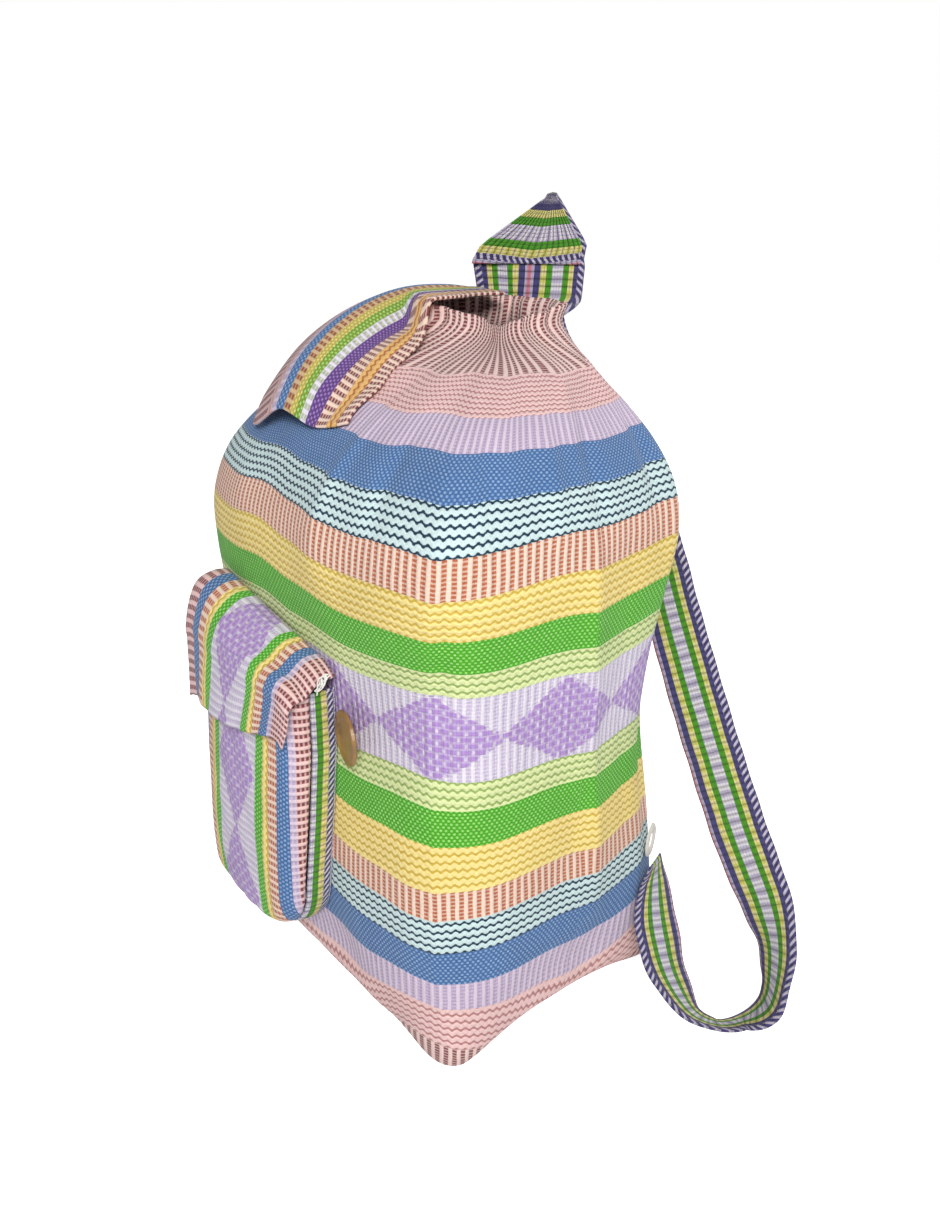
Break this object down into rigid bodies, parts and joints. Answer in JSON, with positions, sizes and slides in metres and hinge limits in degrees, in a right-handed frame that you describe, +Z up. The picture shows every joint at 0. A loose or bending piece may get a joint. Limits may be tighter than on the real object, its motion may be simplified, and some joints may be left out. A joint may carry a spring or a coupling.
{
  "type": "woven drawstring backpack",
  "caption": "Stuffed striped woven cotton drawstring backpack with gathered neck, top flap, front pocket with flap, webbing shoulder straps and pointed hang loop.",
  "frame": {"origin": "middle of the flat base, on the surface that the bag stands on", "axes": "+Z up through the mouth, -Y out of the front pocket, +Y out of the back with the shoulder straps, +X towards the side that the picture shows"},
  "size_m": [0.513, 0.2741, 0.5026],
  "materials": {
    "striped_cloth": "coarse woven cotton in pastel stripes",
    "top_flap_cloth": "coarse woven cotton in lengthwise stripes",
    "hang_loop_webbing": "striped belt webbing",
    "strap_webbing": "striped belt webbing",
    "eyelet_ring": "smooth pale ring",
    "pocket_cloth": "coarse woven cotton in upright stripes",
    "belt_webbing": "striped belt webbing",
    "pocket_flap_cloth": "coarse woven cotton in upright stripes",
    "button_shell": "polished coconut shell"
  },
  "bodies": {
    "root": {"bag_body": "striped_cloth", "top_flap": "top_flap_cloth", "hang_loop": "hang_loop_webbing", "shoulder_strap_right": "strap_webbing", "shoulder_strap_left": "strap_webbing", "strap_eyelet_right": "eyelet_ring", "strap_eyelet_left": "eyelet_ring", "pocket_panel": "pocket_cloth", "pocket_gusset": "belt_webbing", "pocket_flap": "pocket_flap_cloth", "pocket_button": "button_shell"}
  },
  "joints": []
}
